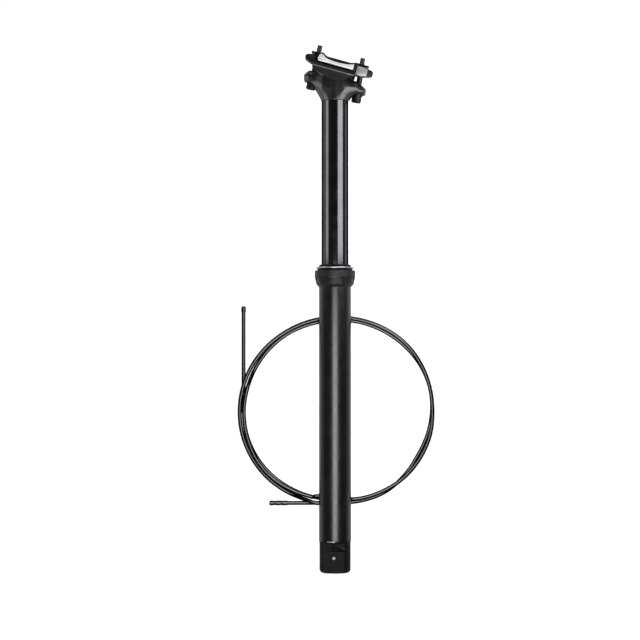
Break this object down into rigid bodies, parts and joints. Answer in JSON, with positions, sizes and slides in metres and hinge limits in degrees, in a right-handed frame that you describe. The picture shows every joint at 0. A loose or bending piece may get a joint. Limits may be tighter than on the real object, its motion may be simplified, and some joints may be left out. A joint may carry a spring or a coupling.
{
  "type": "dropper seatpost",
  "caption": "Dropper seatpost: sliding upper tube with a two-bolt saddle rail clamp, seal collar, cable lever in the foot, and coiled cable housing.",
  "frame": {"origin": "on the post's axis at the lower edge of the collar, where the frame's seat tube ends", "axes": "+Y up the post to the saddle, +X towards the front of the saddle, +Z away from the bench that the post lies on"},
  "size_m": [0.1952, 0.5209, 0.048],
  "materials": {
    "black_tube": "gloss black anodised",
    "black_satin": "satin black anodised, forged",
    "black_collar": "satin black anodised, turned",
    "silver_machined": "machined and polished",
    "silver_satin": "satin, turned",
    "steel_bright": "ground",
    "steel_black": "black oxide",
    "spring_steel": "bright",
    "brass": "drawn",
    "rubber_black": "moulded, matt",
    "rubber_red": "moulded, matt",
    "bushing_plastic": "turned, self-lubricating",
    "housing_jacket": "extruded, slightly glossy",
    "ferrule_black": "satin black anodised"
  },
  "bodies": {
    "lower_post": {"lower_tube": "black_tube", "collar": "black_collar", "upper_bushing": "bushing_plastic", "wiper_seal": "rubber_black", "wiper_ring": "spring_steel", "foot_housing": "black_satin", "retaining_ring": "silver_satin", "foot_set_screw": "steel_bright", "lever_pin": "steel_bright", "cable_stop_bush": "silver_satin", "cartridge_rod": "spring_steel", "rod_piston": "silver_satin", "piston_ring": "rubber_black", "bottom_bumper": "rubber_red", "ferrule_a_tip": "ferrule_black", "housing_a_lead": "housing_jacket", "housing_a_coil": "housing_jacket", "ferrule_a_end": "ferrule_black", "ferrule_b_tip": "ferrule_black", "housing_b_lead": "housing_jacket", "housing_b_coil": "housing_jacket", "ferrule_b_end": "ferrule_black"},
    "upper_post": {"stanchion": "black_tube", "head": "black_satin", "lower_bushing": "bushing_plastic", "bushing_circlip": "spring_steel", "key_pins": "brass", "cartridge_tube": "silver_satin", "seal_head": "silver_satin", "rod_seal": "rubber_black", "cartridge_plug": "silver_satin"},
    "separator": {"floating_piston": "silver_satin", "separator_ring": "rubber_black"},
    "saddle_clamp": {"cradle": "black_satin", "upper_clamp": "silver_machined"},
    "rear_clamp_bolt": {"rear_bolt": "steel_black", "rear_washer": "steel_bright"},
    "rear_barrel_nut": {"rear_nut": "silver_machined"},
    "front_clamp_bolt": {"front_bolt": "steel_black", "front_washer": "steel_bright"},
    "front_barrel_nut": {"front_nut": "silver_machined"},
    "lever": {"actuator_lever": "black_satin", "anchor_barrel": "steel_bright", "anchor_screw": "steel_bright"},
    "valve": {"valve_pin": "steel_bright"}
  },
  "joints": [
    {"name": "post_slide", "type": "slide", "parent": "lower_post", "child": "upper_post", "axis": [0, 1, 0], "range_m": [-0.16, 0], "stiffness_N_per_m": 300, "springref_m": 0.5},
    {"name": "separator_slide", "type": "slide", "parent": "upper_post", "child": "separator", "axis": [0, 1, 0], "range_m": [0, 0.028]},
    {"name": "clamp_tilt", "type": "hinge", "parent": "upper_post", "child": "saddle_clamp", "pos_m": [0.00299, 0.22916, 0], "axis": [0, 0, -1], "range_deg": [-7, 7]},
    {"name": "rear_bolt_swing", "type": "hinge", "parent": "upper_post", "child": "rear_clamp_bolt", "pos_m": [-0.024, 0.1965, 0], "axis": [0, 0, -1], "range_deg": [-1.5, 1.5]},
    {"name": "rear_nut_travel", "type": "slide", "parent": "rear_clamp_bolt", "child": "rear_barrel_nut", "axis": [0.2198, 0.9755, 0], "range_m": [-0.0024, 0.0024]},
    {"name": "front_bolt_swing", "type": "hinge", "parent": "upper_post", "child": "front_clamp_bolt", "pos_m": [0.0208, 0.1834, 0], "axis": [0, 0, -1], "range_deg": [-2.3, 2.3]},
    {"name": "front_nut_travel", "type": "slide", "parent": "front_clamp_bolt", "child": "front_barrel_nut", "axis": [0.1582, 0.9874, 0], "range_m": [-0.0031, 0.0031]},
    {"name": "lever_pull", "type": "hinge", "parent": "lower_post", "child": "lever", "pos_m": [0.0052, -0.2541, 0], "axis": [0, 0, -1], "range_deg": [0, 25]},
    {"name": "valve_slide", "type": "slide", "parent": "lower_post", "child": "valve", "axis": [0, 1, 0], "range_m": [0, 0.00144], "stiffness_N_per_m": 4700, "springref_m": -0.0023}
  ],
  "couplings": [
    {"joint": "separator_slide", "follows": "post_slide", "ratio": -0.1736},
    {"joint": "rear_bolt_swing", "follows": "clamp_tilt", "ratio": -0.2105},
    {"joint": "rear_nut_travel", "follows": "clamp_tilt", "m_per_rad": 0.01914},
    {"joint": "front_bolt_swing", "follows": "clamp_tilt", "ratio": -0.3223},
    {"joint": "front_nut_travel", "follows": "clamp_tilt", "m_per_rad": -0.0248},
    {"joint": "lever_pull", "follows": "valve_slide", "rad_per_m": 217.39}
  ]
}
